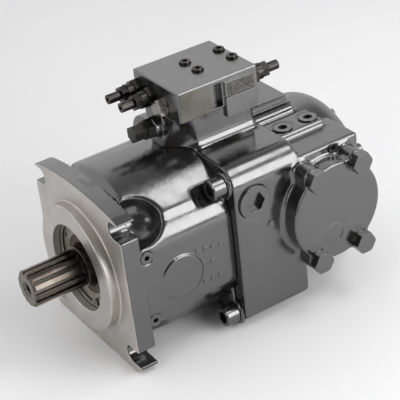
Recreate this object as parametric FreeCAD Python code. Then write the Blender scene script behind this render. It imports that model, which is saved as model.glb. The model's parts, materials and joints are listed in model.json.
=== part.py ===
import FreeCAD, Part
import math
import os

# Variable-displacement axial piston pump, swashplate design, about 130 cm3 per turn.
# Frame: origin on the shaft axis at the front face of the mounting flange, +X from the
# flange towards the rear, +Z up, the blanked suction port on the -Y side.

# ---- driving dimensions, mm ----
PILOT_R = 76.2              # mounting pilot, 152.4 mm diameter
PILOT_LEN = 12.7
BOLT_PITCH = 161.6          # four slots on a square
SLOT_R = 10.3
FLANGE_THICK = 22.0
FLANGE_TOP = 103.0
FLANGE_BOTTOM = -102.0
DISH_R = 30.0               # ball-ended scoops behind the slots, for the nuts
DISH_X = 31.0
SPLINE_R = 22.225           # 44.45 mm outside diameter
SPLINE_TEETH = 13
SHAFT_END = -75.0

SEAM_X = 139.0              # joint between the front casing and the rear housing
GASKET = 0.5
CASING_R = 101.0            # lower and side form of the casting
CASING_TOP_R = 111.0        # raised upper form
CASING_FLAT_Y = 95.0
RAIL = (55.0, 41.2, 40.0)   # shoulder along each upper side: Y, Z, radius
CASING_CAVITY_R = 74.0
CAVITY_FRONT = 43.5

REAR_HALF_Y = 106.0
REAR_TOP = 105.0
REAR_BOTTOM = -98.0
REAR_END = 231.0
DOME_R = 95.0
DOME_END = 344.0
DOME_ROUND = 28.0
REAR_CAVITY_R = 70.0
PORT_WALL_X = 195.0         # wall that the valve plate lies on
PUMP_CHAMBER = (238.0, 326.0, 60.0)   # impeller chamber: front, rear, radius

PISTONS = 9
PISTON_R = 13.5
BALL_CIRCLE_R = 47.0        # slipper balls, measured in the swashplate's plane
BORE_CIRCLE_R = 46.2        # barrel bores, between the two axes of the projected ellipse
BORE_R = 14.45
BALL_R = 7.5
PISTON_LEN = 55.8 + 12.2    # ball centre to the piston's rear end
TILT_X = 98.0               # tilt axis and plane of the ball centres
TILT_DEG = 15.0             # rest position, full displacement
FACE_OFFSET = 9.0           # ball centres to the slippers' running face
PLATE_BACK = 28.0           # ball centres to the back of the swashplate
PLATE_R = 62.0
CRADLE_R = 52.0
SHELL_THICK = 3.0
LUG_Y = (46.0, 60.0)
BARREL_R = 66.0
BARREL_X = (122.0, 190.0)

SERVO_Z = 86.0
SERVO_R = 12.0
LEVER_BALL_R = 6.5

SUCTION_C = (260.6, 18.9)   # X and Z of the suction port
SUCTION_BOLTS = (61.9, 106.4)
SUCTION_R = 38.0
PAD_FACE_Y = -110.0
COVER_THICK = 20.0
PRESSURE_C = (215.0, 0.0)
PRESSURE_BOLTS = (31.8, 66.7)
PRESSURE_R = 16.0
PRESSURE_FACE_Y = 112.0

BLOCK_X = (118.0, 223.0)
BLOCK_HALF_Y = 46.0
PEDESTAL_HALF_Y = 32.0
BLOCK_Z = (150.0, 187.0)
ADJUST_Z = 166.0
ADJUST_FRONT_Y = (37.0, 9.0)
ADJUST_REAR_Y = -26.0
STOP_Z = 134.0              # displacement stop above the casing
STOP_FRONT = 106.0
LEDGE_PLUG = (276.0, 84.5)  # X and Z of the small plug beside the suction pad

HOUSING_BOLTS = ((-88.0, -85.0), (88.0, -85.0), (-88.0, 85.0), (92.0, 48.0))
BOLT_LUG = 4.0              # thickness of the front casing under the bolt heads
M16 = 8.0
M8 = 4.0

V = FreeCAD.Vector
X_AXIS, Y_AXIS, Z_AXIS = V(1, 0, 0), V(0, 1, 0), V(0, 0, 1)


# ---- small geometry helpers ----
def box(x0, x1, y0, y1, z0, z1):
    return Part.makeBox(x1 - x0, y1 - y0, z1 - z0, V(x0, y0, z0))


def rod_x(r, x0, x1, y=0.0, z=0.0):
    return Part.makeCylinder(r, x1 - x0, V(x0, y, z), X_AXIS)


def rod_y(r, y0, y1, x, z):
    return Part.makeCylinder(r, y1 - y0, V(x, y0, z), Y_AXIS)


def rod_z(r, z0, z1, x, y):
    return Part.makeCylinder(r, z1 - z0, V(x, y, z0), Z_AXIS)


def turned(profile):
    """Solid of revolution about the shaft axis from (x, r) corners."""
    pts = [V(x, 0, r) for x, r in profile]
    face = Part.Face(Part.makePolygon(pts + [pts[0]]))
    return face.revolve(V(0, 0, 0), X_AXIS, 360)


def prism_x(outline, x0, x1):
    """Extrusion along X of a (y, z) polygon."""
    pts = [V(x0, y, z) for y, z in outline]
    return Part.Face(Part.makePolygon(pts + [pts[0]])).extrude(V(x1 - x0, 0, 0))


def hexagon(across_flats, z0, z1):
    """Hexagonal prism on the Z axis."""
    r = across_flats / math.sqrt(3)
    angles = [math.radians(a) for a in range(0, 361, 60)]
    pts = [V(r * math.cos(a), r * math.sin(a), z0) for a in angles]
    return Part.Face(Part.makePolygon(pts)).extrude(V(0, 0, z1 - z0))


def aimed(shape, at, direction):
    """Moves a part built on +Z so that +Z points along direction, from the point at."""
    turn = FreeCAD.Rotation(Z_AXIS, V(*direction))
    moved = shape.copy()
    moved.Placement = FreeCAD.Placement(V(*at), turn)
    return moved


def group(shapes):
    return Part.makeCompound(shapes)


def fused(first, *others):
    return first.fuse(list(others)).removeSplitter()


def both_sides(shape):
    """The shape and its mirror image in the XZ plane."""
    return [shape, shape.mirror(V(0, 0, 0), Y_AXIS)]


def rounded(shape, radius, wanted):
    """Fillets the edges that wanted picks, one group, and keeps the shape if that fails."""
    edges = [e for e in shape.Edges if wanted(e)]
    if not edges:
        return shape
    result = shape.makeFillet(radius, edges)
    return result if result.isValid() else shape


# ---- fasteners, built on +Z with the bearing face of the head at z = 0 ----
def socket_screw(r, length, head_r, head_h, key):
    body = Part.makeCylinder(r, length, V(0, 0, -length), Z_AXIS)
    head = Part.makeCylinder(head_r, head_h)
    head = head.makeChamfer(head_h * 0.08, [e for e in head.Edges if abs(e.BoundBox.ZMin - head_h) < 1e-6])
    screw = body.fuse(head).removeSplitter()
    return screw.cut(hexagon(key, head_h * 0.45, head_h + 1))


def hex_screw(r, length, flats, head_h, washer_r, washer_h):
    body = Part.makeCylinder(r, length + 0.1, V(0, 0, -length), Z_AXIS)
    collar = Part.makeCylinder(washer_r, washer_h)
    head = hexagon(flats, washer_h - 0.1, head_h)
    corner_r = flats / math.sqrt(3)
    top = Part.makeCone(corner_r + head_h, flats / 2 * 0.97, head_h + (corner_r - flats / 2) * 0.6)
    head = head.common(top)
    return body.fuse([collar, head]).removeSplitter()


def socket_plug(r, depth, head_r, head_h, key):
    """Screw plug with an internal hexagon, its head above z = 0."""
    plug = Part.makeCylinder(r, depth + 0.1, V(0, 0, -depth), Z_AXIS).fuse(Part.makeCylinder(head_r, head_h))
    return plug.removeSplitter().cut(hexagon(key, head_h - depth * 0.5, head_h + 1))


# ---- castings ----
def flange():
    """Flange outline, arched along the top, with sides that lean in a little upwards."""
    sides = [(80, 96), (92, 92.5), (94.5, 70), (98, -66), (98, -95), (88, FLANGE_BOTTOM)]
    right = [V(0, y, z) for y, z in sides]
    left = [V(0, -y, z) for y, z in reversed(sides)]
    corners = right + left
    edges = [Part.LineSegment(a, b).toShape() for a, b in zip(corners, corners[1:])]
    edges.append(Part.Arc(left[-1], V(0, 0, FLANGE_TOP), right[0]).toShape())
    return Part.Face(Part.Wire(edges)).extrude(V(FLANGE_THICK, 0, 0))


def slot_tools():
    """Four slots on the bolt square, open to the sides."""
    half = BOLT_PITCH / 2
    tools = []
    for z in (-half, half):
        slot = rod_x(SLOT_R, -1, FLANGE_THICK + 3, -half, z)
        mouth = box(-1, FLANGE_THICK + 3, -CASING_R, -half, z - SLOT_R, z + SLOT_R)
        tools += both_sides(fused(slot, mouth))
    return tools


def casing_body():
    """Outer form behind the flange, with its shoulders, bolt lugs and wrench pockets."""
    side = box(10, SEAM_X, -CASING_FLAT_Y, CASING_FLAT_Y, -120, 120)
    lower = rod_x(CASING_R, 10, SEAM_X).common(side)
    lower = rounded(lower, 12, lambda e: e.Length > 100 and e.CenterOfMass.z < 0 and on_flat(e))
    step_r = CASING_TOP_R - 7
    chamfer = [(12, 0), (12, step_r), (FLANGE_THICK, step_r), (FLANGE_THICK + 6, CASING_TOP_R)]
    top = turned(chamfer + [(SEAM_X, CASING_TOP_R), (SEAM_X, 0)])
    top = top.common(box(10, SEAM_X, -82, 82, 60, 130))
    top = rounded(top, 10, lambda e: e.Length > 100 and abs(e.CenterOfMass.z) > 70)
    rail_y, rail_z, rail_r = RAIL
    rails = both_sides(rod_x(rail_r, 12, SEAM_X, -rail_y, rail_z))
    lugs = [rod_x(16, SEAM_X - BOLT_LUG, SEAM_X, y, z) for y, z in HOUSING_BOLTS]
    for y, z in HOUSING_BOLTS[:3]:
        lugs.append(box(SEAM_X - BOLT_LUG, SEAM_X, *sorted((y, y * 0.6)), *sorted((z, z * 0.6))))
    body = fused(lower, top, *rails, *lugs)
    recesses = [rod_x(17, 105, SEAM_X - BOLT_LUG, y, z) for y, z in HOUSING_BOLTS]
    return body.cut(recesses)


def on_flat(edge):
    """Whether an edge lies on one of the casing's flat sides."""
    return abs(abs(edge.CenterOfMass.y) - CASING_FLAT_Y) < 1


def nut_dishes():
    """Ball-ended scoops round the slots' axes, behind the flange."""
    half = BOLT_PITCH / 2
    tools = []
    for z in (-half, half):
        ball = Part.makeSphere(DISH_R, V(DISH_X, -half, z))
        dish = fused(rod_x(DISH_R, FLANGE_THICK, DISH_X, -half, z), ball)
        tools += both_sides(dish.common(box(FLANGE_THICK, 80, -130, 0, -130, 130)))
    return tools


def front_casing():
    casting = fused(casing_body().cut(nut_dishes()), flange(), rod_x(PILOT_R, -PILOT_LEN, 2))
    discs = both_sides(rod_y(26, -CASING_FLAT_Y - 2.2, -CASING_FLAT_Y + 1, 69, 0))
    body = fused(casting, *discs)
    body = body.cut(rod_x(CASING_CAVITY_R, CAVITY_FRONT, SEAM_X + 1))
    pads = both_sides(box(CAVITY_FRONT - 4, 60, -LUG_Y[1] - 0.6, -LUG_Y[0] + 0.6, -35, 35))
    body = fused(body, *pads)
    seat = rod_y(CRADLE_R + SHELL_THICK + 0.1, -LUG_Y[1] - 0.6, -LUG_Y[0] + 0.6, TILT_X, 0)
    seat = seat.common(box(30, 75, -70, 70, -36, 36))
    bores = [
        rod_x(52.5, -PILOT_LEN - 1, 12),
        rod_x(40, 11, 15),
        rod_x(45, 14, CAVITY_FRONT + 20),
        rod_x(54.5, -4.0, -1.0),
        rod_x(SERVO_R + 0.05, 28, SEAM_X + 1, 0, SERVO_Z),
        box(74, 124, -8, 8, 60, SERVO_Z),
    ]
    for y, z in HOUSING_BOLTS:
        bores.append(rod_x(M16 + 0.5, SEAM_X - BOLT_LUG - 1, SEAM_X + 1, y, z))
    for z in (41, -41):
        hole = rod_y(6.1, -CASING_FLAT_Y - 1, -CASING_FLAT_Y + 18, 29, z)
        spot = rod_y(8.5, -CASING_FLAT_Y - 1, -CASING_FLAT_Y + 1.5, 29, z)
        bores += both_sides(hole) + both_sides(spot)
    return body.cut(bores + both_sides(seat) + slot_tools())


def suction_prism(y0, y1):
    """Round in the middle with four lobes for the bolts, blended where they meet."""
    lobes = [rod_y(12.5, y0, y1, x, z) for x, z in suction_bolt_places()]
    plate = fused(rod_y(60.5, y0, y1, *SUCTION_C), *lobes)
    full = y1 - y0
    return rounded(plate, 9, lambda e: abs(e.Length - full) < 0.01 and abs(e.BoundBox.YLength - full) < 0.01)


def suction_bolt_places():
    x, z = SUCTION_C
    dx, dz = SUCTION_BOLTS[0] / 2, SUCTION_BOLTS[1] / 2
    return [(x + i * dx, z + k * dz) for i in (-1, 1) for k in (-1, 1)]


def rear_section():
    """Main cross-section of the rear housing as a wire at the seam."""
    x0 = SEAM_X + GASKET
    r = 26.0
    y, z = REAR_HALF_Y, REAR_TOP
    k = r * (1 - math.sqrt(0.5))
    pts = [V(x0, -y, z - r), V(x0, -y, -88), V(x0, -90, REAR_BOTTOM), V(x0, 90, REAR_BOTTOM),
           V(x0, y, -88), V(x0, y, z - r)]
    edges = [Part.LineSegment(a, b).toShape() for a, b in zip(pts, pts[1:])]
    edges.append(Part.Arc(V(x0, y, z - r), V(x0, y - k, z - k), V(x0, y - r, z)).toShape())
    edges.append(Part.LineSegment(V(x0, y - r, z), V(x0, r - y, z)).toShape())
    edges.append(Part.Arc(V(x0, r - y, z), V(x0, k - y, z - k), V(x0, -y, z - r)).toShape())
    return Part.Face(Part.Wire(edges))


def pedestal():
    """Foot of the control block: upright walls set in below it, a bow in front, a hollow fillet."""
    low, high = REAR_TOP - 1, BLOCK_Z[0]
    fillet, steps = 13.0, 6
    levels = [(high, 0.0)]
    for i in range(steps + 1):
        t = math.radians(90 * i / steps)
        levels.append((low + fillet * (1 - math.sin(t)), fillet * (1 - math.cos(t))))
    wires = []
    for z, flare in levels:
        half = PEDESTAL_HALF_Y + flare
        down = (high - z) / (high - low)
        nose_x, nose_y = 119 - 9 * down, PEDESTAL_HALF_Y - 24 * down
        front = [(nose_x, -nose_y), (145, -half)]
        outline = front + [(224, -half), (224, half)] + [(x, -y) for x, y in reversed(front)]
        wires.append(Part.makePolygon([V(x, y, z) for x, y in outline + outline[:1]]))
    foot = Part.makeLoft(wires, True, True)
    over_casing = rod_x(CASING_TOP_R + 0.4, 90, SEAM_X + GASKET)
    return foot.cut(over_casing)


def dome():
    r0 = DOME_R - DOME_ROUND
    xc = DOME_END - DOME_ROUND
    k = DOME_ROUND * math.sqrt(0.5)
    edges = [
        Part.LineSegment(V(225, 0, 0), V(225, 0, DOME_R)).toShape(),
        Part.LineSegment(V(225, 0, DOME_R), V(xc, 0, DOME_R)).toShape(),
        Part.Arc(V(xc, 0, DOME_R), V(xc + k, 0, r0 + k), V(DOME_END, 0, r0)).toShape(),
        Part.LineSegment(V(DOME_END, 0, r0), V(DOME_END, 0, 0)).toShape(),
        Part.LineSegment(V(DOME_END, 0, 0), V(225, 0, 0)).toShape(),
    ]
    return Part.Face(Part.Wire(edges)).revolve(V(0, 0, 0), X_AXIS, 360)


def sector(r0, r1, x0, x1, side):
    """Half-ring passage on one side of the shaft."""
    hollow = rod_x(r1, x0, x1).cut(rod_x(r0, x0 - 1, x1 + 1))
    y0, y1 = (15, r1 + 1) if side > 0 else (-r1 - 1, -15)
    return hollow.common(box(x0, x1, y0, y1, -r1, r1))


def rear_housing():
    main = rear_section().extrude(V(REAR_END - SEAM_X - GASKET, 0, 0))
    pad = suction_prism(PAD_FACE_Y, -40)
    ledge = fused(box(228, 313, -REAR_HALF_Y, -50, 73, 90.5), box(228, 316, -95, -50, 10, 80))
    plug_pad = box(229, 297, -66, -30, 60, 99)
    pressure_pad = box(PRESSURE_C[0] - 31, PRESSURE_C[0] + 31, 60, PRESSURE_FACE_Y, -54, 54)
    platform = box(224, 291, -17, 64, 60, 101)
    boss = rod_x(12, STOP_FRONT, 130, 0, STOP_Z)
    outer = fused(main, dome(), pad, ledge, plug_pad, pressure_pad, platform, pedestal(), boss)
    sx, sz = SUCTION_C
    px, pz = PRESSURE_C
    front, rear, r = PUMP_CHAMBER
    bores = [
        rod_x(REAR_CAVITY_R, SEAM_X, PORT_WALL_X),
        rod_x(36, PORT_WALL_X - 1, 222),
        rod_x(26, 221, front + 1),
        rod_x(r, front, rear),
        rod_x(48.1, rear - 1, DOME_END + 1),
        rod_y(SUCTION_R, PAD_FACE_Y - 1, -20, sx, sz),
        sector(38, 56, PORT_WALL_X - 1, front + 1, -1),
        sector(38, 56, PORT_WALL_X - 1, 226, 1),
        rod_y(PRESSURE_R, 45, PRESSURE_FACE_Y + 1, px, pz),
        rod_x(7, STOP_FRONT - 1, 160, 0, STOP_Z),
        rod_y(17.1, -REAR_HALF_Y - 1, -REAR_HALF_Y + 16, 164.8, 60),
        rod_y(20.5, -REAR_HALF_Y - 1, -REAR_HALF_Y + 1.5, 164.8, 60),
        rod_y(4.1, -REAR_HALF_Y - 1, -90, *LEDGE_PLUG),
    ]
    for y, z in HOUSING_BOLTS:
        bores.append(rod_x(M16 + 0.1, SEAM_X, SEAM_X + 40, y, z))
    for x, z in suction_bolt_places():
        bores.append(rod_y(M16 + 0.1, PAD_FACE_Y - 1, PAD_FACE_Y + 34, x, z))
    for i in (-1, 1):
        for k in (-1, 1):
            x, z = px + i * PRESSURE_BOLTS[0] / 2, pz + k * PRESSURE_BOLTS[1] / 2
            bores.append(rod_y(6.0, PRESSURE_FACE_Y - 26, PRESSURE_FACE_Y + 1, x, z))
    for x in (249, 285):
        bores.append(rod_z(9.1, 83, 101, x, -50))
        bores.append(rod_z(13.0, 97.5, 101, x, -50))
    for x, y in block_screw_places():
        bores.append(rod_z(M8 + 0.1, BLOCK_Z[0] - 22, BLOCK_Z[0] + 1, x, y))
    for x, y in top_screw_places():
        bores.append(rod_z(M8 + 0.1, 84, 102, x, y))
    for y, z in rear_screw_places():
        bores.append(rod_x(M8 + 0.1, DOME_END - 16, DOME_END + 1, y, z))
    return outer.cut(bores)


def block_screw_places():
    return [(x, y) for x in (168.3, 214.5) for y in (14.5, -11.1)]


def top_screw_places():
    return [(241, 2), (241, 52), (264, 28)]


def rear_screw_places():
    angles = [math.radians(30 + 60 * i) for i in range(6)]
    return [(57 * math.cos(a), 57 * math.sin(a)) for a in angles]


# ---- pieces fixed to the castings ----
def housing_gasket():
    plate = rod_x(CASING_R - 1, SEAM_X, SEAM_X + GASKET).common(box(130, 150, -94, 94, -120, 120))
    holes = [rod_x(REAR_CAVITY_R + 4, 130, 150), rod_x(SERVO_R + 1, 130, 150, 0, SERVO_Z)]
    holes += [rod_x(M16 + 1, 130, 150, y, z) for y, z in HOUSING_BOLTS]
    return plate.cut(holes)


def housing_bolts():
    screw = socket_screw(M16, 40, 12, 16, 14)
    return group([aimed(screw, (SEAM_X - BOLT_LUG, y, z), (-1, 0, 0)) for y, z in HOUSING_BOLTS])


def suction_cover():
    y0 = PAD_FACE_Y - COVER_THICK
    plate = suction_prism(y0, PAD_FACE_Y)
    plate = rounded(plate, 2.5, lambda e: abs(e.CenterOfMass.y - y0) < 1e-6 and e.BoundBox.YLength < 1e-3)
    spigot = rod_y(SUCTION_R - 0.3, PAD_FACE_Y - 1, PAD_FACE_Y + 5, *SUCTION_C)
    holes = [rod_y(M16 + 0.5, y0 - 1, PAD_FACE_Y + 1, x, z) for x, z in suction_bolt_places()]
    mark = rod_y(12, y0 - 0.8, y0 + 1, 253, -8)
    return fused(plate, spigot, mark).cut(holes)


def cover_bolts():
    screw = hex_screw(M16, 50, 24, 11, 12.5, 1.0)
    y0 = PAD_FACE_Y - COVER_THICK
    return group([aimed(screw, (x, y0, z), (0, -1, 0)) for x, z in suction_bolt_places()])


def rear_cover():
    face = DOME_END + 8
    plate = turned([(DOME_END, 0), (DOME_END, 66), (face - 2, 66), (face, 64), (face, 0)])
    spigot = rod_x(48, DOME_END - 12, DOME_END + 1)
    body = fused(plate, spigot)
    holes = []
    for y, z in rear_screw_places():
        holes.append(rod_x(M8 + 0.5, DOME_END - 1, DOME_END + 9, y, z))
    return body.cut(holes)


def rear_cover_screws():
    screw = socket_screw(M8, 22, 6.5, 8, 6)
    return group([aimed(screw, (DOME_END + 8, y, z), (1, 0, 0)) for y, z in rear_screw_places()])


def top_cover():
    plate = fused(box(232, 289, -13, 61, 101, 106), box(232, 287, -6, 58, 105, 112))
    holes = [rod_z(M8 + 0.5, 100, 113, x, y) for x, y in top_screw_places()]
    holes += [rod_z(7.2, 104, 113, x, y) for x, y in top_screw_places()]
    return plate.cut(holes)


def top_cover_screws():
    screw = socket_screw(M8, 16, 6.5, 7.5, 6)
    return group([aimed(screw, (x, y, 104), (0, 0, 1)) for x, y in top_screw_places()])


def socket_plugs():
    small = socket_plug(6, 14, 7.5, 1.0, 6)
    pieces = []
    for z in (41, -41):
        for side in (-1, 1):
            pieces.append(aimed(small, (29, side * (CASING_FLAT_Y - 1.5), z), (0, side, 0)))
    pad = socket_plug(9, 13, 10.8, 2.2, 10)
    pieces += [aimed(pad, (x, -50, 97.5), (0, 0, 1)) for x in (249, 285)]
    x, z = LEDGE_PLUG
    pieces.append(aimed(socket_plug(4, 13, 5.5, 1.5, 5), (x, -REAR_HALF_Y, z), (0, -1, 0)))
    return group(pieces)


def large_plug():
    return aimed(socket_plug(17, 14, 20, 3.5, 22), (164.8, -REAR_HALF_Y + 1.5, 60), (0, -1, 0))


def bearing_cups():
    """Outer rings of the front and rear tapered roller bearings."""
    front = turned([(14, 36.7), (14, 45), (37, 45), (37, 42.2)])
    rear = turned([(200, 33.0), (200, 36), (222, 36), (222, 29.4)])
    return group([front, rear])


def seal_carrier():
    body = turned([(0, 36.0), (0, 52.3), (11.5, 52.3), (11.5, 31), (9, 31), (9, 36.0)])
    ribs = [rod_x(3, -1, 5, 45 * math.cos(a), 45 * math.sin(a)) for a in (0.5, 2.1, 3.7, 5.2)]
    return body.cut(ribs)


def shaft_seal():
    lip = [(4, 32), (4, 25.3), (2.5, 25.3), (2.5, 27)]
    return turned([(0.5, 27), (0.5, 35.9), (8.9, 35.9), (8.9, 32)] + lip)


def snap_ring():
    """Internal retaining ring with its two eyes at the gap."""
    hoop = rod_x(54.3, -3.3, -1.3).cut(rod_x(49.5, -5, 0))
    eyes = [rod_x(5, -3.3, -1.3, 47.5 * math.sin(a), -47.5 * math.cos(a)) for a in (-0.7, -0.3)]
    gap = rod_x(3.6, -5, 0, 52 * math.sin(-0.5), -52 * math.cos(-0.5))
    holes = [rod_x(1.6, -5, 0, 47.0 * math.sin(a), -47.0 * math.cos(a)) for a in (-0.7, -0.3)]
    return fused(hoop, *eyes).cut([gap] + holes)


def cradle_shells():
    """Two curved bearing shells that the swashplate rocks in."""
    outer = rod_y(CRADLE_R + SHELL_THICK, -LUG_Y[1], -LUG_Y[0], TILT_X, 0)
    shell = outer.cut(rod_y(CRADLE_R + 0.08, -LUG_Y[1] - 1, -LUG_Y[0] + 1, TILT_X, 0))
    shell = shell.common(box(30, 62, -70, 70, -33, 33))
    return group(both_sides(shell))


def valve_plate():
    disc = rod_x(64, BARREL_X[1] + 0.05, PORT_WALL_X).cut(rod_x(30, 180, 200))
    slots = [sector(40, 54, 185, 200, side) for side in (-1, 1)]
    return disc.cut(slots)


# ---- control block on the pedestal ----
def control_block():
    x0, x1 = BLOCK_X
    z0, z1 = BLOCK_Z
    hw = BLOCK_HALF_Y
    body = box(x0, x1, -hw, hw, z0, z1)
    body = rounded(body, 2.0, lambda e: e.Length > 20)
    skirt = box(178, 219, -hw - 2.5, -hw + 6, z0 - 12, z1 - 6)
    skirt = skirt.cut(box(170, 230, -hw - 5, -hw + 0.01, z0 + 12, z0 + 13.2))
    body = fused(body, skirt)
    holes = [
        box(159, 175, -hw - 5, -hw + 8, z0 + 3, z1 - 5),
        rod_x(6.05, 125, x1 + 1, ADJUST_REAR_Y, ADJUST_Z),
        rod_x(9.05, 196, x1 + 1, ADJUST_REAR_Y, ADJUST_Z),
        rod_x(7.1, x0 - 1, x0 + 16, -14, 161),
    ]
    for y in ADJUST_FRONT_Y:
        holes.append(rod_x(9.05, x0 - 1, x0 + 44, y, ADJUST_Z))
    for x, y in block_screw_places():
        holes.append(rod_z(M8 + 0.5, z0 - 1, z1 + 1, x, y))
        holes.append(rod_z(7.2, z1 - 5, z1 + 1, x, y))
    return body.cut(holes)


def block_screws():
    screw = socket_screw(M8, 50, 6.5, 8, 6)
    return group([aimed(screw, (x, y, BLOCK_Z[1] - 5), (0, 0, 1)) for x, y in block_screw_places()])


def corner_plug():
    plug = hex_screw(7, 14, 19, 10, 10.5, 1.5)
    return aimed(plug, (BLOCK_X[0], -14, 161), (-1, 0, 0))


def adjusters():
    """Places of the three adjusting screws: block face, Y, and the way out."""
    front = [(BLOCK_X[0], y, -1) for y in ADJUST_FRONT_Y]
    return front + [(BLOCK_X[1], ADJUST_REAR_Y, 1)]


def on_adjuster(shape, index, out):
    """Puts a piece built on +Z on an adjuster's axis, out from the block's face."""
    x, y, side = adjusters()[index]
    return aimed(shape, (x + side * out, y, ADJUST_Z), (side, 0, 0))


def adjuster_sleeves():
    body = fused(hexagon(22, 0, 9), Part.makeCylinder(9.6, 17), Part.makeCylinder(9, 12, V(0, 0, -12)))
    body = body.cut(Part.makeCylinder(5.1, 40, V(0, 0, -20)))
    return group([on_adjuster(body, i, 0) for i in range(3)])


def lock_nuts():
    nut = hexagon(17, 0, 8).common(Part.makeCone(18, 8.4, 12))
    nut = nut.cut(Part.makeCylinder(5.1, 20, V(0, 0, -2)))
    return group([on_adjuster(nut, i, 17) for i in range(3)])


def adjusting_screw(index):
    screw = Part.makeCylinder(5, 61, V(0, 0, -20)).fuse(Part.makeCylinder(5.6, 14, V(0, 0, 27)))
    screw = screw.removeSplitter().cut(hexagon(5, 37, 42))
    return on_adjuster(screw, index, 0)


def spring_seat(index):
    seat = Part.makeCylinder(8.95, 5, V(0, 0, -25.0)).fuse(Part.makeCylinder(4, 4, V(0, 0, -29)))
    return on_adjuster(seat.removeSplitter(), index, 0)


def control_spool():
    land_r, neck_r = 6, 3.5
    profile = [(128, 0)]
    lands = [(128, 140, land_r), (150, 162, land_r), (176, 186, land_r)]
    necks = [(140, 150, neck_r), (162, 176, neck_r)]
    for start, end, r in sorted(lands + necks):
        profile += [(start, r), (end, r)]
    body = turned(profile + [(186, 0)])
    body.Placement = FreeCAD.Placement(V(0, ADJUST_REAR_Y, ADJUST_Z), FreeCAD.Rotation())
    return body


def stop_screw():
    """Displacement stop with its lock nut and cap on the pedestal's boss."""
    stem = rod_x(6.9, STOP_FRONT, 150, 0, STOP_Z)
    nut = aimed(hexagon(22, 0, 9), (STOP_FRONT, 0, STOP_Z), (-1, 0, 0))
    cap = aimed(hexagon(18, 9, 25), (STOP_FRONT, 0, STOP_Z), (-1, 0, 0))
    return fused(stem, nut, cap)


# ---- shaft and rotating group ----
def drive_shaft():
    profile = [
        (SHAFT_END, 0), (SHAFT_END, SPLINE_R - 2.5), (SHAFT_END + 2.5, SPLINE_R), (-8, SPLINE_R),
        (-8, 24), (-3, 25), (13, 25), (13, 27.5), (38, 27.5), (38, 22.5), (118, 22.5), (118, 22),
        (188, 22), (188, 20), (222, 20), (222, 17), (238, 17), (238, 14), (262, 14), (262, 11.9),
        (280, 11.9), (280, 0),
    ]
    shaft = turned(profile)
    root_r, clear_r = SPLINE_R - 3.2, SPLINE_R + 2
    gaps = []
    step = 2 * math.pi / SPLINE_TEETH
    for i in range(SPLINE_TEETH):
        a = i * step
        w_out, w_in = 0.27 * step, 0.20 * step
        corners = [(root_r, a - w_in), (clear_r, a - w_out), (clear_r, a + w_out), (root_r, a + w_in)]
        outline = [(r * math.cos(t), r * math.sin(t)) for r, t in corners]
        gaps.append(prism_x(outline, SHAFT_END - 1, -12))
    centre = [rod_x(7.0, SHAFT_END - 1, SHAFT_END + 36), Part.makeCone(10, 7, 3, V(SHAFT_END, 0, 0), X_AXIS)]
    return shaft.cut(gaps + centre)


def bearing_cones():
    """Inner rings of the front and rear tapered roller bearings."""
    front = turned([(14, 27.5), (14, 30.2), (37, 33.9), (37, 27.5)])
    rear = turned([(200, 20), (200, 26.5), (222, 23.8), (222, 20)])
    return group([front, rear])


def roller_ring(count, start, end):
    """Tapered rollers between two (x, centre radius, roller radius) stations."""
    (x0, mid0, r0), (x1, mid1, r1) = start, end
    axis = V(x1 - x0, 0, mid1 - mid0)
    pieces = []
    for i in range(count):
        one = Part.makeCone(r0, r1, axis.Length, V(x0, 0, mid0), axis)
        one.rotate(V(0, 0, 0), X_AXIS, 360.0 * i / count)
        pieces.append(one)
    return pieces


def bearing_rollers():
    front = roller_ring(22, (17, 33.9, 3.0), (34, 37.5, 3.6))
    rear = roller_ring(20, (203, 29.4, 2.7), (219, 26.8, 2.3))
    return group(front + rear)


def cylinder_barrel():
    body = rod_x(BARREL_R, *BARREL_X)
    body = body.cut(rod_x(22, BARREL_X[0] - 1, BARREL_X[1] + 1))
    body = body.cut(rod_x(30, BARREL_X[0] - 1, BARREL_X[0] + 10))
    tools = []
    for i in range(PISTONS):
        a = 2 * math.pi * i / PISTONS
        y, z = BORE_CIRCLE_R * math.cos(a), BORE_CIRCLE_R * math.sin(a)
        tools.append(rod_x(BORE_R, BARREL_X[0] - 1, BARREL_X[1] - 8, y, z))
        tools.append(rod_x(6, BARREL_X[1] - 9, BARREL_X[1] + 1, y, z))
    return body.cut(tools)


def retaining_ball():
    """Ball guide on the shaft that the retaining plate tips about."""
    ball = Part.makeSphere(26, V(TILT_X, 0, 0))
    return ball.common(box(TILT_X - 9, TILT_X + 14, -40, 40, -40, 40)).cut(rod_x(22.5, 60, 130))


def impeller():
    hub = turned([(240, 14), (240, 24), (262, 18), (262, 14)])
    disc = rod_x(46, 240, 243).cut(rod_x(23, 239, 250))
    vanes = []
    for i in range(8):
        vane = box(242.5, 258, -1.5, 1.5, 18, 45)
        vane.rotate(V(0, 0, 0), X_AXIS, 45 * i)
        vanes.append(vane)
    return fused(hub, disc, *vanes).cut(rod_x(14, 230, 270))


# ---- swashplate group, built level and then tipped to the rest angle ----
def tipped(shape):
    moved = shape.copy()
    moved.rotate(V(TILT_X, 0, 0), Y_AXIS, TILT_DEG)
    return moved


def level_point(radius, angle):
    return TILT_X, radius * math.cos(angle), radius * math.sin(angle)


def swashplate():
    face, back = TILT_X - FACE_OFFSET, TILT_X - PLATE_BACK
    disc = turned([(back, 0), (back, PLATE_R - 4), (back + 6, PLATE_R), (face, PLATE_R), (face, 0)])
    lugs = []
    for side in (-1, 1):
        y0, y1 = sorted((side * LUG_Y[0], side * LUG_Y[1]))
        lug = rod_y(CRADLE_R, y0, y1, TILT_X, 0).common(box(30, back + 6, -70, 70, -26, 26))
        lugs.append(lug)
    arm = box(back + 5, face - 3, -7, 7, 50, 64)
    plate = fused(disc, arm, *lugs)
    plate = plate.cut(rod_x(31.5, 30, 110))
    return tipped(plate)


def lever_point():
    a = math.radians(TILT_DEG / 2)
    return TILT_X + SERVO_Z * math.sin(a), SERVO_Z * math.cos(a)


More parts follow.
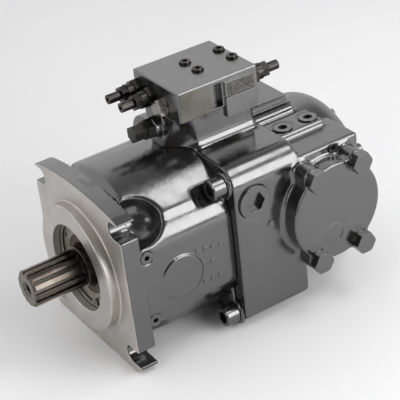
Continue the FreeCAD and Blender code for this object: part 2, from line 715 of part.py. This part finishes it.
def lever_pin():
    """Ball-ended arm between the swashplate's edge and the stroking piston."""
    x, z = lever_point()
    head = Part.makeSphere(LEVER_BALL_R, V(x, 0, z))
    foot_x, foot_z = TILT_X - 2.4, 58.6
    length = math.hypot(x - foot_x, z - foot_z)
    stem = Part.makeCylinder(4, length, V(foot_x, 0, foot_z), V(x - foot_x, 0, z - foot_z))
    return fused(head, stem)


def retaining_plate():
    back, front = TILT_X - 4.7, TILT_X - 0.9
    plate = rod_x(62, back, front)
    plate = plate.cut(Part.makeSphere(26.1, V(TILT_X, 0, 0)))
    holes = []
    for i in range(PISTONS):
        _, y, z = level_point(BALL_CIRCLE_R, 2 * math.pi * i / PISTONS)
        holes.append(rod_x(11.3, back - 1, front + 1, y, z))
    return tipped(plate.cut(holes))


def slipper(i):
    """Shoe with a sole, a socket for the piston's ball and an oil hole."""
    x, y, z = level_point(BALL_CIRCLE_R, 2 * math.pi * i / PISTONS)
    sole_r, cup_r, hole_r, socket_r = 13.4, 10.5, 1.0, BALL_R + 0.1
    face, step, lip = 0.05 - FACE_OFFSET, -5.0, 2.0
    lip_r = math.sqrt(socket_r ** 2 - lip ** 2)
    bottom = -math.sqrt(socket_r ** 2 - hole_r ** 2)
    corners = [(bottom, hole_r), (face, hole_r), (face, sole_r), (step, sole_r), (step, cup_r)]
    corners += [(lip, cup_r), (lip, lip_r)]
    pts = [V(a, 0, r) for a, r in corners]
    socket = Part.Arc(pts[-1], V(-socket_r * math.sqrt(0.5), 0, socket_r * math.sqrt(0.5)), pts[0])
    sides = [Part.LineSegment(a, b).toShape() for a, b in zip(pts, pts[1:])]
    outline = Part.Wire(sides + [socket.toShape()])
    shoe = Part.Face(outline).revolve(V(0, 0, 0), X_AXIS, 360)
    shoe.translate(V(x, y, z))
    return tipped(shoe)


def ball_centre(i):
    """Ball centre of one piston at the rest tilt."""
    x, y, z = level_point(BALL_CIRCLE_R, 2 * math.pi * i / PISTONS)
    t = math.radians(TILT_DEG)
    return TILT_X + z * math.sin(t), y, z * math.cos(t)


def piston(i):
    x, y, z = ball_centre(i)
    profile = [(x + 4, 0), (x + 4, 4.6), (x + 8, 4.6), (x + 13, PISTON_R), (x + PISTON_LEN, PISTON_R),
               (x + PISTON_LEN, 8), (x + 22, 8), (x + 18, 0)]
    pts = [V(a, 0, r) for a, r in profile]
    body = Part.Face(Part.makePolygon(pts + [pts[0]])).revolve(V(0, 0, 0), X_AXIS, 360)
    body.translate(V(0, y, z))
    return fused(body, Part.makeSphere(BALL_R, V(x, y, z)))


# ---- stroking piston and return spring ----
def servo_piston():
    x, _ = lever_point()
    body = rod_x(SERVO_R, x - 25, x + 25, 0, SERVO_Z)
    slot_half = LEVER_BALL_R + 0.15
    slot = box(x - slot_half, x + slot_half, -20, 20, SERVO_Z - 20, SERVO_Z + 7.2)
    stem_room = box(x - SERVO_R, x + SERVO_R, -20, 20, SERVO_Z - 20, SERVO_Z - 4)
    return body.cut([slot, stem_room])


def bias_spring():
    """Return spring as a stack of separate turns between the casing and the stroking piston."""
    x1 = lever_point()[0] - 25
    x0 = 28.0
    wire, mean_r = 1.5, 9.0
    turns = 7
    pitch = (x1 - x0 - 2 * wire - 0.2) / (turns - 1)
    helix = Part.makeHelix(pitch, pitch * (turns - 1), mean_r)
    section = Part.Wire(Part.makeCircle(wire, V(mean_r, 0, 0), Y_AXIS))
    coil = Part.Wire(helix.Edges).makePipeShell([section], True, True)
    return aimed(coil, (x0 + wire + 0.1, 0, SERVO_Z), (1, 0, 0))


def build():
    parts = {
        "front_casing": front_casing(),
        "rear_housing": rear_housing(),
        "housing_gasket": housing_gasket(),
        "housing_bolts": housing_bolts(),
        "suction_cover": suction_cover(),
        "cover_bolts": cover_bolts(),
        "rear_cover": rear_cover(),
        "rear_cover_screws": rear_cover_screws(),
        "top_cover": top_cover(),
        "top_cover_screws": top_cover_screws(),
        "socket_plugs": socket_plugs(),
        "large_plug": large_plug(),
        "bearing_cups": bearing_cups(),
        "seal_carrier": seal_carrier(),
        "shaft_seal": shaft_seal(),
        "snap_ring": snap_ring(),
        "cradle_shells": cradle_shells(),
        "valve_plate": valve_plate(),
        "control_block": control_block(),
        "block_screws": block_screws(),
        "corner_plug": corner_plug(),
        "adjuster_sleeves": adjuster_sleeves(),
        "lock_nuts": lock_nuts(),
        "stop_screw": stop_screw(),
        "control_spool": control_spool(),
        "drive_shaft": drive_shaft(),
        "cylinder_barrel": cylinder_barrel(),
        "bearing_cones": bearing_cones(),
        "bearing_rollers": bearing_rollers(),
        "retaining_ball": retaining_ball(),
        "impeller": impeller(),
        "swashplate": swashplate(),
        "lever_pin": lever_pin(),
        "retaining_plate": retaining_plate(),
        "servo_piston": servo_piston(),
        "bias_spring": bias_spring(),
    }
    for i in range(3):
        parts[f"adjusting_screw_{i + 1}"] = adjusting_screw(i)
        parts[f"spring_seat_{i + 1}"] = spring_seat(i)
    for i in range(PISTONS):
        parts[f"slipper_{i + 1}"] = slipper(i)
        parts[f"piston_{i + 1}"] = piston(i)
    return parts


os.makedirs("parts", exist_ok=True)
for node, shape in build().items():
    shape.exportStep(f"parts/{node}.step")
    print(node, "valid" if shape.isValid() else "INVALID", len(shape.Solids), round(shape.Volume / 1000, 1))
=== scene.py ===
import json
import math
import bmesh
import bpy
import numpy as np
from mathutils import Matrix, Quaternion, Vector

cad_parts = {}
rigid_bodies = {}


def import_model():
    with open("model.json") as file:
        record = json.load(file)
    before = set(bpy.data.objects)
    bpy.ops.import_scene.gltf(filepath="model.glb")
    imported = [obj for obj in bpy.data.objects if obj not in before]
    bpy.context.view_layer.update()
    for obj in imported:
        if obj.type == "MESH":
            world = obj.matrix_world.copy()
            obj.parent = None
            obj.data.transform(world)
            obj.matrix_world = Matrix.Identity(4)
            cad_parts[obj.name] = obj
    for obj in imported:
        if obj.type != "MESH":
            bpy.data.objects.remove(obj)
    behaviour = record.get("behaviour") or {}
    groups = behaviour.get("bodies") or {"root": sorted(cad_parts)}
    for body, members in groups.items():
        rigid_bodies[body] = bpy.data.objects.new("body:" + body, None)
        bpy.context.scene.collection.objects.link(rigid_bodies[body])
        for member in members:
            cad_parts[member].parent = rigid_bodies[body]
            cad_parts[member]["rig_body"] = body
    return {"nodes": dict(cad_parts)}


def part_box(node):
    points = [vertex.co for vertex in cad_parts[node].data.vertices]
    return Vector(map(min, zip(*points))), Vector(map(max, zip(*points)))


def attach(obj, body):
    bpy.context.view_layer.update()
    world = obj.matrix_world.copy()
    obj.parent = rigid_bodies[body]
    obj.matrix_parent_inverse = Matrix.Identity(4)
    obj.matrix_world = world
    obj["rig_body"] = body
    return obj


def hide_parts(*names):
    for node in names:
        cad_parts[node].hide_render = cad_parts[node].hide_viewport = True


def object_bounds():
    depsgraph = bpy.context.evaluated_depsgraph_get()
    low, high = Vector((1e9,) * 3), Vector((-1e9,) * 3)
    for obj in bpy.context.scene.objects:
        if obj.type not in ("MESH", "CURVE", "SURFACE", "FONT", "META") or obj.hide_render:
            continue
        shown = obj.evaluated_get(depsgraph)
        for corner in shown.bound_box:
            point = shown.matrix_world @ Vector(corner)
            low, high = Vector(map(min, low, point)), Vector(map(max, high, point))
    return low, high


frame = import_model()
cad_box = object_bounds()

# Axial piston pump, in metres: X along the shaft to the rear, Y away from the suction
# cover's side, Z up, origin on the shaft axis at the flange's front face.

scene = bpy.context.scene
nodes = frame["nodes"]
MM = 0.001

FLANGE_FACE_X = 0.8 * MM
FLANGE_BACK = 22 * MM
SEAM_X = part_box("housing_gasket")[0].x
CASING_SIDE_Y = -95 * MM
REAR_SIDE_Y = -106 * MM
SIDE_DISC_X, SIDE_DISC_R = 69 * MM, 26 * MM
FRONT_CAVITY_R, REAR_CAVITY_R = 75 * MM, 72 * MM
MACHINED_R = 60 * MM       # bores and faces within this radius of the shaft are bare
MACHINED_END_X = 300 * MM
BLOCK_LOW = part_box("control_block")[0]
FLOOR_Z = cad_box[0].z


# ---- camera, light and floor ----
def make_camera():
    """Camera above and in front of the flange's near corner, rolled a little."""
    eye = Vector((-0.5297, -1.1660, 0.8290))
    aim = Vector((0.1243, -0.0579, 0.0580))
    roll = math.radians(-6.68)
    data = bpy.data.cameras.new("camera")
    data.lens = 121.23
    data.sensor_width = 36
    data.clip_start, data.clip_end = 0.05, 60
    camera = bpy.data.objects.new("camera", data)
    scene.collection.objects.link(camera)
    turn = (aim - eye).to_track_quat("-Z", "Y") @ Quaternion((0, 0, 1), roll)
    camera.rotation_mode = "QUATERNION"
    camera.rotation_quaternion = turn
    camera.location = eye
    scene.camera = camera


def area_light(name, toward, distance, width, height, power, tone=(1, 1, 1)):
    """Soft box at a direction from the object, aimed at it."""
    data = bpy.data.lights.new(name, "AREA")
    data.shape = "RECTANGLE"
    data.size, data.size_y = width, height
    data.energy = power
    data.color = tone
    light = bpy.data.objects.new(name, data)
    scene.collection.objects.link(light)
    centre = (cad_box[0] + cad_box[1]) / 2
    direction = Vector(toward).normalized()
    light.location = centre + direction * distance
    light.rotation_mode = "QUATERNION"
    light.rotation_quaternion = (-direction).to_track_quat("-Z", "Y")


def make_lights():
    """Pale studio, dimmer overhead and behind the camera, with four soft boxes."""
    world = bpy.data.worlds.new("studio")
    world.use_nodes = True
    tree = world.node_tree
    background = tree.nodes["Background"]
    place = tree.nodes.new("ShaderNodeTexCoord").outputs["Generated"]

    def dimmed(toward, start, end, low):
        """1 away from a direction, falling to low around it."""
        dot = tree.nodes.new("ShaderNodeVectorMath")
        dot.operation = "DOT_PRODUCT"
        dot.inputs[1].default_value = Vector(toward).normalized()
        tree.links.new(place, dot.inputs[0])
        fall = tree.nodes.new("ShaderNodeMapRange")
        for key, number in (("From Min", start), ("From Max", end), ("To Min", 1.0), ("To Max", low)):
            fall.inputs[key].default_value = number
        tree.links.new(dot.outputs["Value"], fall.inputs["Value"])
        return fall.outputs["Result"]

    both = tree.nodes.new("ShaderNodeMath")
    both.operation = "MULTIPLY"
    tree.links.new(dimmed((-0.44, -0.74, 0.51), 0.45, 0.85, 0.12), both.inputs[0])
    tree.links.new(dimmed((0.40, 0.05, 0.92), 0.80, 0.97, 0.32), both.inputs[1])
    level = tree.nodes.new("ShaderNodeMath")
    level.operation = "MULTIPLY"
    tree.links.new(both.outputs["Value"], level.inputs[0])
    level.inputs[1].default_value = 1.02
    tree.links.new(level.outputs["Value"], background.inputs["Strength"])
    background.inputs["Color"].default_value = (0.99, 0.99, 1.0, 1)
    scene.world = world
    area_light("high", (0.42, -0.27, 0.87), 1.9, 0.95, 0.55, 7.5)
    area_light("low", (0.42, -0.85, 0.36), 1.9, 1.4, 1.15, 24)
    area_light("left", (-0.9, -0.25, 0.55), 2.2, 0.8, 1.2, 8, (1, 0.98, 0.95))
    area_light("back", (0.3, 0.85, 0.52), 2.4, 2.0, 0.7, 0.6)


def make_floor():
    mesh = bpy.data.meshes.new("floor")
    reach = 9.0
    corners = [(i * reach, k * reach, FLOOR_Z) for i, k in ((-1, -1), (1, -1), (1, 1), (-1, 1))]
    mesh.from_pydata(corners, [], [(0, 1, 2, 3)])
    floor = bpy.data.objects.new("floor", mesh)
    scene.collection.objects.link(floor)
    finish = Finish("floor_paper")
    finish.colour((0.87, 0.87, 0.875), (0.90, 0.90, 0.905), finish.noise(3.0))
    finish.roughness(0.75, 0.85, finish.noise(8.0))
    mesh.materials.append(finish.material)


# ---- finishes ----
class Finish:
    """One procedural material, with short calls for the nodes that it needs."""

    def __init__(self, name, metallic=0.0, ior=1.5):
        self.material = bpy.data.materials.new(name)
        self.material.use_nodes = True
        self.tree = self.material.node_tree
        self.shader = self.tree.nodes["Principled BSDF"]
        self.shader.inputs["Metallic"].default_value = metallic
        self.shader.inputs["IOR"].default_value = ior
        self.place = self.add("ShaderNodeTexCoord").outputs["Object"]
        self.normal = None

    def add(self, kind, **settings):
        node = self.tree.nodes.new(kind)
        for key, value in settings.items():
            setattr(node, key, value)
        return node

    def join(self, source, target):
        self.tree.links.new(source, target)

    def math(self, operation, first, second):
        node = self.add("ShaderNodeMath", operation=operation)
        for socket, value in zip(node.inputs, (first, second)):
            if isinstance(value, (int, float)):
                socket.default_value = value
            else:
                self.join(value, socket)
        return node.outputs["Value"]

    def scaled(self, x, y, z):
        """Object coordinates stretched by x, y and z."""
        node = self.add("ShaderNodeMapping")
        node.inputs["Scale"].default_value = (x, y, z)
        self.join(self.place, node.inputs["Vector"])
        return node.outputs["Vector"]

    def noise(self, scale, detail=4.0, vector=None, distortion=0.0):
        node = self.add("ShaderNodeTexNoise")
        node.inputs["Scale"].default_value = scale
        node.inputs["Detail"].default_value = detail
        node.inputs["Distortion"].default_value = distortion
        self.join(vector or self.place, node.inputs["Vector"])
        return node.outputs["Fac"]

    def turning(self, scale):
        """Rings about the X axis, as a lathe tool leaves them."""
        node = self.add("ShaderNodeTexWave", wave_type="RINGS", rings_direction="X")
        node.inputs["Scale"].default_value = scale
        node.inputs["Distortion"].default_value = 1.2
        node.inputs["Detail"].default_value = 3.0
        self.join(self.place, node.inputs["Vector"])
        return node.outputs["Fac"]

    def spread(self, value, start, end, low=0.0, high=1.0):
        node = self.add("ShaderNodeMapRange")
        for key, number in (("From Min", start), ("From Max", end), ("To Min", low), ("To Max", high)):
            node.inputs[key].default_value = number
        self.join(value, node.inputs["Value"])
        return node.outputs["Result"]

    def mixed(self, factor, first, second):
        node = self.add("ShaderNodeMix", data_type="RGBA")
        self.join(factor, node.inputs["Factor"])
        colours = [s for s in node.inputs if s.type == "RGBA"]
        for socket, value in zip(colours, (first, second)):
            if isinstance(value, tuple):
                socket.default_value = (*value, 1)
            else:
                self.join(value, socket)
        return [s for s in node.outputs if s.type == "RGBA"][0]

    def edges(self, radius, sharpness=0.12):
        """Near 1 along convex and concave edges, 0 on open faces."""
        soft = self.add("ShaderNodeBevel", samples=4)
        soft.inputs["Radius"].default_value = radius
        true = self.add("ShaderNodeNewGeometry").outputs["Normal"]
        dot = self.add("ShaderNodeVectorMath", operation="DOT_PRODUCT")
        self.join(soft.outputs["Normal"], dot.inputs[0])
        self.join(true, dot.inputs[1])
        self.normal = soft.outputs["Normal"]
        return self.spread(dot.outputs["Value"], 1.0, 1.0 - sharpness)

    def colour(self, low, high, factor):
        mix = self.mixed(self.spread(factor, 0.3, 0.7), low, high)
        self.join(mix, self.shader.inputs["Base Color"])
        return mix

    def roughness(self, low, high, factor):
        self.join(self.spread(factor, 0.3, 0.7, low, high), self.shader.inputs["Roughness"])

    def bump(self, height, distance, strength=1.0):
        node = self.add("ShaderNodeBump")
        node.inputs["Distance"].default_value = distance
        node.inputs["Strength"].default_value = strength
        self.join(height, node.inputs["Height"])
        if self.normal is not None:
            self.join(self.normal, node.inputs["Normal"])
        self.normal = node.outputs["Normal"]
        self.join(self.normal, self.shader.inputs["Normal"])

    def edge_wear_and_highlight(self, base, bare, amount, radius=0.7 * MM):
        """Shows a lighter tone in patches along the edges: partly wear, partly a painted highlight on
        the edges.
        """
        patches = self.spread(self.noise(180, 6), 0.45, 0.62, 0, amount)
        mask = self.math("MULTIPLY", self.edges(radius), patches)
        mix = self.mixed(mask, base, bare)
        self.join(mix, self.shader.inputs["Base Color"])


def gloss_paint(name, grain, low=0.11, high=0.25, ior=1.92, level=0.72):
    """Thick gloss black paint; grain is the bump of the casting's skin below it."""
    finish = Finish(name, ior=ior)
    finish.shader.inputs["Specular IOR Level"].default_value = level
    base = finish.colour((0.005, 0.005, 0.006), (0.015, 0.014, 0.013), finish.noise(45, 6))
    # Lighter patches along the edges: partly paint worn to the metal, partly a painted highlight.
    finish.edge_wear_and_highlight(base, (0.09, 0.075, 0.06), 0.8)
    finish.roughness(low, high, finish.noise(70, 6))
    finish.bump(finish.noise(28, 3), 2.2 * MM, 0.5 * grain)
    finish.bump(finish.noise(330, 3, distortion=0.4), 0.35 * MM, grain)
    return finish.material


def bare_metal(name, dark, light, rough, rings=0, streaks=(1, 1, 1), bump=0.05):
    """Machined metal with a tool's rings or streaks, a little stain, and edges brighter in patches:
    partly wear, partly a painted highlight.
    """
    finish = Finish(name, metallic=1.0)
    base = finish.colour(dark, light, finish.noise(35, 7))
    # Brighter patches along the edges: partly wear, partly a painted highlight.
    finish.edge_wear_and_highlight(base, tuple(min(1.0, c * 1.35) for c in light), 0.7, 0.5 * MM)
    marks = finish.turning(rings) if rings else finish.noise(60, 5, finish.scaled(*streaks))
    finish.roughness(rough - 0.08, rough + 0.08, marks)
    finish.bump(marks, 0.1 * MM, bump * 6)
    return finish.material


def rubber(name, tone):
    finish = Finish(name)
    finish.colour(tone, tuple(c * 1.8 for c in tone), finish.noise(120, 5))
    finish.roughness(0.55, 0.75, finish.noise(90))
    finish.bump(finish.noise(900, 2), 0.1 * MM, 0.4)
    return finish.material


def speckled_label():
    """Faded printed film without any lettering: only an uneven mottled print."""
    finish = Finish("blank_label")
    cells = finish.add("ShaderNodeTexVoronoi")
    cells.inputs["Scale"].default_value = 520
    finish.join(finish.place, cells.inputs["Vector"])
    print_tone = finish.math("MULTIPLY", cells.outputs["Distance"], finish.noise(260, 2))
    mix = finish.mixed(finish.spread(print_tone, 0.12, 0.3), (0.015, 0.015, 0.015), (0.10, 0.096, 0.09))
    finish.join(mix, finish.shader.inputs["Base Color"])
    finish.roughness(0.3, 0.5, finish.noise(200))
    finish.bump(print_tone, 0.2 * MM, 0.5)
    return finish.material


def make_finishes():
    along_shaft, upright = (0.05, 1, 1), (1, 1, 0.04)
    made = [
        gloss_paint("black_casting", 0.22),
        bare_metal("machined_casting", (0.48, 0.455, 0.43), (0.58, 0.55, 0.52), 0.42, 260, bump=0.03),
        gloss_paint("control_paint", 0.10, 0.20, 0.34, 2.0, 0.78),
        gloss_paint("painted_fasteners", 0.12),
        rubber("gasket", (0.02, 0.02, 0.02)),
        bare_metal("black_fasteners", (0.03, 0.03, 0.03), (0.07, 0.066, 0.06), 0.3, bump=0.02),
        bare_metal("plated_plug", (0.20, 0.195, 0.19), (0.34, 0.33, 0.32), 0.24, bump=0.02),
        bare_metal("shaft_steel", (0.075, 0.064, 0.055), (0.16, 0.14, 0.12), 0.25, 0, along_shaft),
        bare_metal("ground_steel", (0.45, 0.45, 0.46), (0.58, 0.58, 0.59), 0.25, 0, along_shaft),
        bare_metal("seal_ring_steel", (0.30, 0.28, 0.25), (0.46, 0.44, 0.40), 0.3, 420),
        rubber("seal_rubber", (0.05, 0.032, 0.022)),
        bare_metal("bearing_bronze", (0.45, 0.30, 0.13), (0.62, 0.45, 0.22), 0.35),
        bare_metal("spring_steel", (0.14, 0.14, 0.15), (0.26, 0.26, 0.27), 0.35),
        bare_metal("impeller_metal", (0.45, 0.45, 0.45), (0.6, 0.6, 0.6), 0.5),
        bare_metal("nameplate", (0.105, 0.099, 0.088), (0.18, 0.17, 0.151), 0.38, 0, upright),
        speckled_label(),
    ]
    return {plain_name(material): material for material in made}


def plain_name(material):
    """Name without the number that Blender adds to a repeated one."""
    return material.name.split(".")[0]


# ---- mesh work ----
def copy_of(node, name):
    """New piece with the node's shape, in the node's place."""
    piece = bpy.data.objects.new(name, nodes[node].data.copy())
    scene.collection.objects.link(piece)
    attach(piece, nodes[node]["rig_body"])
    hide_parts(node)
    return piece


def voxelised(piece, size):
    """Rebuilds the piece's skin as an even net of squares of about that size."""
    modifier = piece.modifiers.new("voxels", "REMESH")
    modifier.mode = "VOXEL"
    modifier.voxel_size = size
    bpy.context.view_layer.update()
    shape = piece.evaluated_get(bpy.context.evaluated_depsgraph_get())
    mesh = bpy.data.meshes.new_from_object(shape)
    piece.modifiers.clear()
    mesh.materials.clear()
    piece.data = mesh
    mesh.shade_smooth()
    return mesh


def points_of(mesh):
    co = np.empty(len(mesh.vertices) * 3)
    mesh.vertices.foreach_get("co", co)
    return co.reshape(-1, 3)


def soften(mesh, rounds, hold):
    """Rounds cast edges: each point moves towards its neighbours' mean where hold is below 1."""
    co = points_of(mesh)
    ends = np.empty(len(mesh.edges) * 2, dtype=np.int64)
    mesh.edges.foreach_get("vertices", ends)
    first, second = ends.reshape(-1, 2).T
    both, other = np.concatenate([first, second]), np.concatenate([second, first])
    count = np.bincount(both, minlength=len(co))[:, None]
    step = 0.5 * (1 - np.clip(hold(co), 0, 1))[:, None]
    for _ in range(rounds):
        total = np.stack([np.bincount(both, co[other, k], len(co)) for k in range(3)], axis=1)
        co += step * (total / count - co)
    mesh.vertices.foreach_set("co", co.ravel())
    mesh.update()


def ramp(value, start, end):
    """0 below start, 1 above end."""
    return np.clip((value - start) / (end - start), 0, 1)


def inside_cavity(co, radius):
    """1 within the shaft bore and casing cavity, where nothing is rounded."""
    return 1 - ramp(np.hypot(co[:, 1], co[:, 2]), radius, radius + 2 * MM)


def face_centres(mesh):
    centres = np.empty(len(mesh.polygons) * 3)
    mesh.polygons.foreach_get("center", centres)
    return centres.reshape(-1, 3)


def two_finishes(mesh, painted, bare, is_bare):
    """Paint everywhere, and bare metal on the faces whose centres is_bare picks."""
    mesh.materials.append(painted)
    mesh.materials.append(bare)
    picked = is_bare(face_centres(mesh)).astype(np.int32)
    mesh.polygons.foreach_set("material_index", picked)
    mesh.update()


def break_edges(obj, width):
    """Small rounded edge on a plate made here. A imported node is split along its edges: no effect."""
    edge = obj.modifiers.new("broken_edges", "BEVEL")
    edge.width = width
    edge.segments = 2
    edge.limit_method = "ANGLE"
    edge.angle_limit = math.radians(35)


# ---- castings ----
def front_casing(finishes):
    piece = copy_of("front_casing", "casing_front")
    mesh = voxelised(piece, 1.1 * MM)

    def hold(co):
        flange = 1 - ramp(co[:, 0], FLANGE_BACK + 0.5 * MM, FLANGE_BACK + 4 * MM)
        seam = ramp(co[:, 0], SEAM_X - 3 * MM, SEAM_X - 0.5 * MM)
        from_disc = np.hypot(co[:, 0] - SIDE_DISC_X, co[:, 2])
        at_side = ramp(np.abs(co[:, 1]), -CASING_SIDE_Y - 2 * MM, -CASING_SIDE_Y - 1 * MM)
        disc = at_side * (1 - ramp(from_disc, SIDE_DISC_R + 3 * MM, SIDE_DISC_R + 7 * MM))
        return np.maximum.reduce([flange, seam, 0.92 * disc, inside_cavity(co, FRONT_CAVITY_R)])

    soften(mesh, 30, hold)
    two_finishes(
        mesh, finishes["black_casting"], finishes["machined_casting"],
        lambda c: (c[:, 0] < FLANGE_FACE_X) | (np.hypot(c[:, 1], c[:, 2]) < MACHINED_R))


def rear_housing(finishes):
    piece = copy_of("rear_housing", "casing_rear")
    mesh = voxelised(piece, 1.2 * MM)

    def hold(co):
        seam = 1 - ramp(co[:, 0], SEAM_X + 0.5 * MM, SEAM_X + 4 * MM)
        pad = ramp(-co[:, 1], -REAR_SIDE_Y + 1 * MM, -REAR_SIDE_Y + 3 * MM)
        return np.maximum.reduce([seam, pad, inside_cavity(co, REAR_CAVITY_R)])

    soften(mesh, 24, hold)
    two_finishes(
        mesh, finishes["black_casting"], finishes["machined_casting"],
        lambda c: (np.hypot(c[:, 1], c[:, 2]) < MACHINED_R) & (c[:, 0] < MACHINED_END_X))


def suction_cover(finishes):
    piece = copy_of("suction_cover", "cover_plate")
    mesh = voxelised(piece, 0.9 * MM)
    soften(mesh, 4, lambda co: np.zeros(len(co)))
    mesh.materials.append(finishes["black_casting"])


# ---- small pieces on the housing ----
def thin_plate(name, x, z, y, thick, corner, material):
    """Plate on a face that looks towards -Y: x and z are its spans, y the face that it lies on."""
    build = bmesh.new()
    ring_points = []
    for cx, cz, start in ((x[1], z[1], 0), (x[0], z[1], 90), (x[0], z[0], 180), (x[1], z[0], 270)):
        mx = cx - corner if cx == x[1] else cx + corner
        mz = cz - corner if cz == z[1] else cz + corner
        for k in range(5):
            a = math.radians(start + 22.5 * k)
            ring_points.append((mx + corner * math.cos(a), mz + corner * math.sin(a)))
    front = [build.verts.new((px, y - thick, pz)) for px, pz in ring_points]
    back = [build.verts.new((px, y, pz)) for px, pz in ring_points]
    build.faces.new(front)
    build.faces.new(back[::-1])
    for i in range(len(front)):
        j = (i + 1) % len(front)
        build.faces.new((front[i], back[i], back[j], front[j]))
    bmesh.ops.recalc_face_normals(build, faces=build.faces)
    mesh = bpy.data.meshes.new(name)
    build.to_mesh(mesh)
    build.free()
    mesh.materials.append(material)
    piece = bpy.data.objects.new(name, mesh)
    scene.collection.objects.link(piece)
    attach(piece, "housing")
    break_edges(piece, thick * 0.3)


def casting_marks(finishes):
    """Short raised bars where the casting carries its marks, and a small round pad."""
    paint = finishes["black_casting"]
    wide, tall, pitch, sunk = 6.5 * MM, 7 * MM, 10 * MM, 0.2 * MM
    rows = [(89, 25.5, 4, -1.4), (107, 5.5, 1, 0), (95, -17.5, 3, 0)]
    for row, (x, z, count, drop) in enumerate(rows):
        for i in range(count):
            left, top = x * MM + pitch * i, (z + drop * i) * MM
            thin_plate(
                f"casting_mark_{row + 1}_{i + 1}", (left, left + wide), (top - tall, top),
                CASING_SIDE_Y + sunk, 1.0 * MM, 1.8 * MM, paint)
    thin_plate(
        "round_pad", (180 * MM, 190 * MM), (18 * MM, 28 * MM),
        REAR_SIDE_Y + sunk, 1.4 * MM, 4.9 * MM, paint)


def make_plates(finishes):
    near = BLOCK_LOW.y + 2.5 * MM
    thin_plate(
        "blank_nameplate", (119.5 * MM, 158.0 * MM), (151.5 * MM, 184.5 * MM),
        near, 0.8 * MM, 1.5 * MM, finishes["nameplate"])
    thin_plate(
        "blank_label", (180.5 * MM, 216.5 * MM), (164.5 * MM, 179.0 * MM),
        BLOCK_LOW.y, 0.35 * MM, 1.0 * MM, finishes["blank_label"])


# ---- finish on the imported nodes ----
def dress_nodes(finishes):
    for obj in nodes.values():
        for slot in obj.material_slots:
            slot.material = finishes[plain_name(slot.material)]


scene.view_settings.view_transform = "Standard"
finishes = make_finishes()
make_camera()
make_lights()
make_floor()
dress_nodes(finishes)
front_casing(finishes)
rear_housing(finishes)
suction_cover(finishes)
make_plates(finishes)
casting_marks(finishes)
